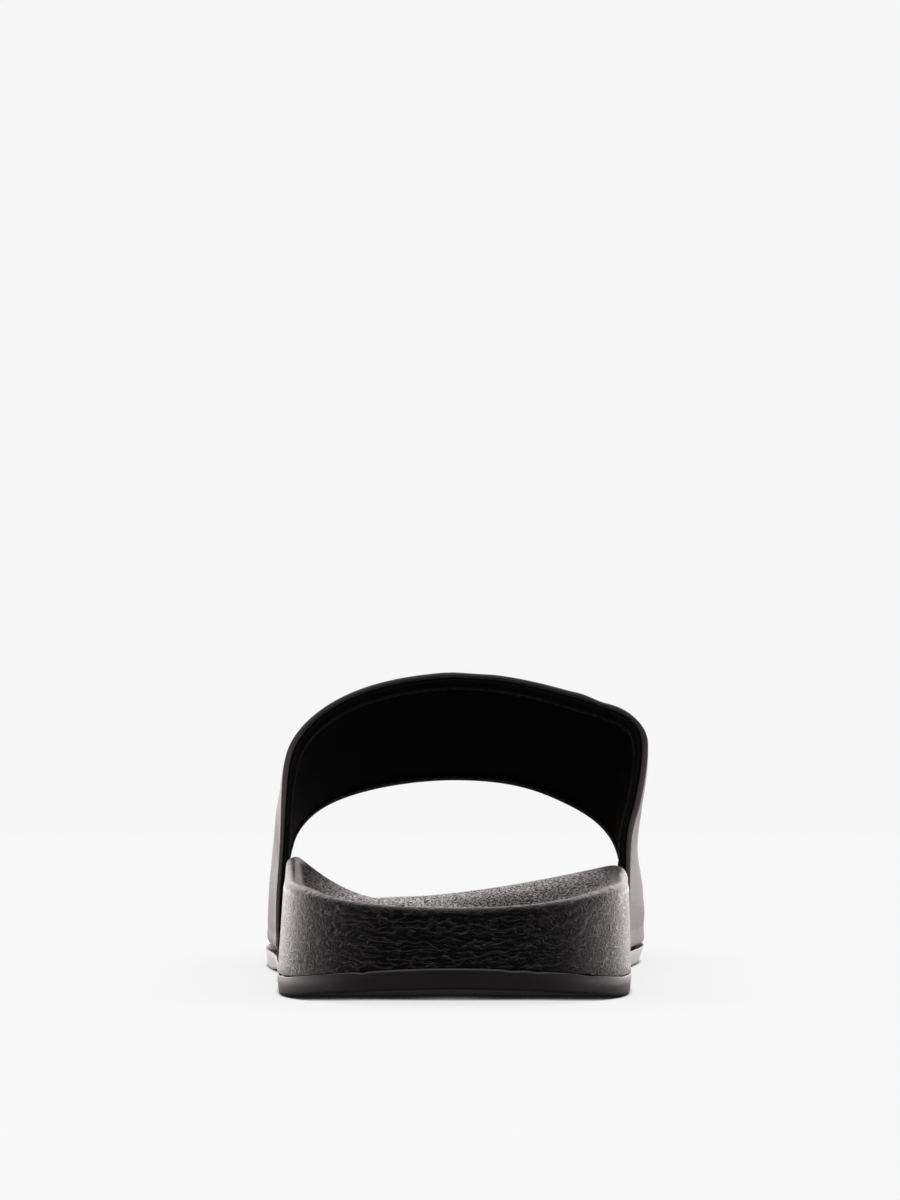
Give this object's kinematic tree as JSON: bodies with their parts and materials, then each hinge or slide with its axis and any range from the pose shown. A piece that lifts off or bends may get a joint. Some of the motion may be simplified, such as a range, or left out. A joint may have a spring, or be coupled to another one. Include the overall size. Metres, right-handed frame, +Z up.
{
  "type": "slide sandal",
  "caption": "Left slide sandal with a thick moulded footbed, a thin rubber outsole and a broad open band over the forefoot.",
  "frame": {"origin": "middle of the bounding box in plan, on the floor under the sole", "axes": "+X towards the inner (medial) side, +Y from heel to toe, +Z up"},
  "size_m": [0.106, 0.2804, 0.0776],
  "materials": {
    "outsole": "smooth satin rubber",
    "midsole": "matte moulded foam with a leather-like grain",
    "upper": "smooth synthetic leather"
  },
  "bodies": {
    "root": {"outsole": "outsole", "midsole": "midsole", "upper": "upper"}
  },
  "joints": []
}
